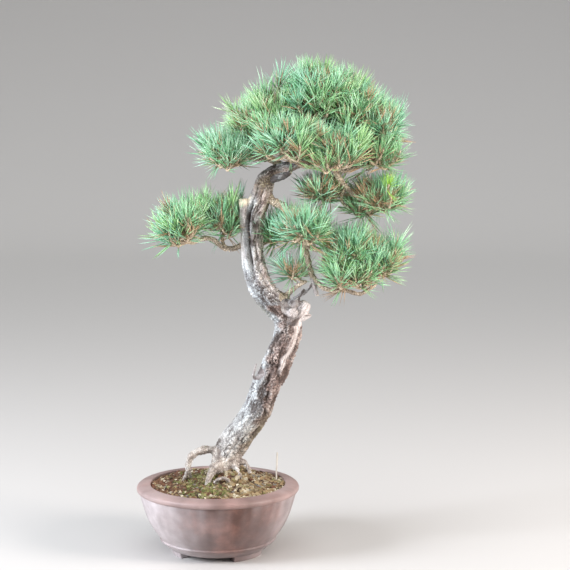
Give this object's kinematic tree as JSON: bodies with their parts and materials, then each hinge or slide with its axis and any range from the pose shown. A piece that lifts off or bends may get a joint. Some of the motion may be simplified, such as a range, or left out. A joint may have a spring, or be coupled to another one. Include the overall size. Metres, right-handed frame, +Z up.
{
  "type": "scots pine bonsai",
  "caption": "Small scots pine trained as a bonsai, with a leaning curved trunk, open roots and clouds of needles, planted in a round clay pot on three feet.",
  "frame": {"origin": "on the standing surface, under the middle of the whole outline; the pot's axis is 91 mm to the left of it", "axes": "+Z up along the pot's axis; +X to the right as the tree is shown, the way the trunk leans; -Y towards the viewer"},
  "size_m": [0.4394, 0.2617, 0.7927],
  "materials": {
    "clay": "matt, unglazed",
    "soil": "matt, granular",
    "bark": "matt, rough",
    "needles": "satin",
    "mesh_plastic": "matt",
    "stake_wood": "matt"
  },
  "bodies": {
    "root": {"pot": "clay", "drain_mesh": "mesh_plastic", "soil": "soil", "trunk": "bark", "stake": "stake_wood", "crown_apex": "needles", "crown_left_high": "needles", "crown_left_low": "needles", "crown_left_back": "needles", "crown_front": "needles", "crown_front_right": "needles", "crown_right_high": "needles", "crown_right": "needles", "crown_right_low": "needles", "crown_back": "needles", "crown_back_right": "needles", "shelf_right": "needles", "shelf_middle": "needles", "shelf_low": "needles", "left_tip": "needles", "left_inner": "needles", "middle_front": "needles", "middle_back": "needles", "middle_inner": "needles", "low_upper": "needles", "low_tip": "needles", "low_bottom": "needles", "low_inner": "needles"}
  },
  "joints": []
}
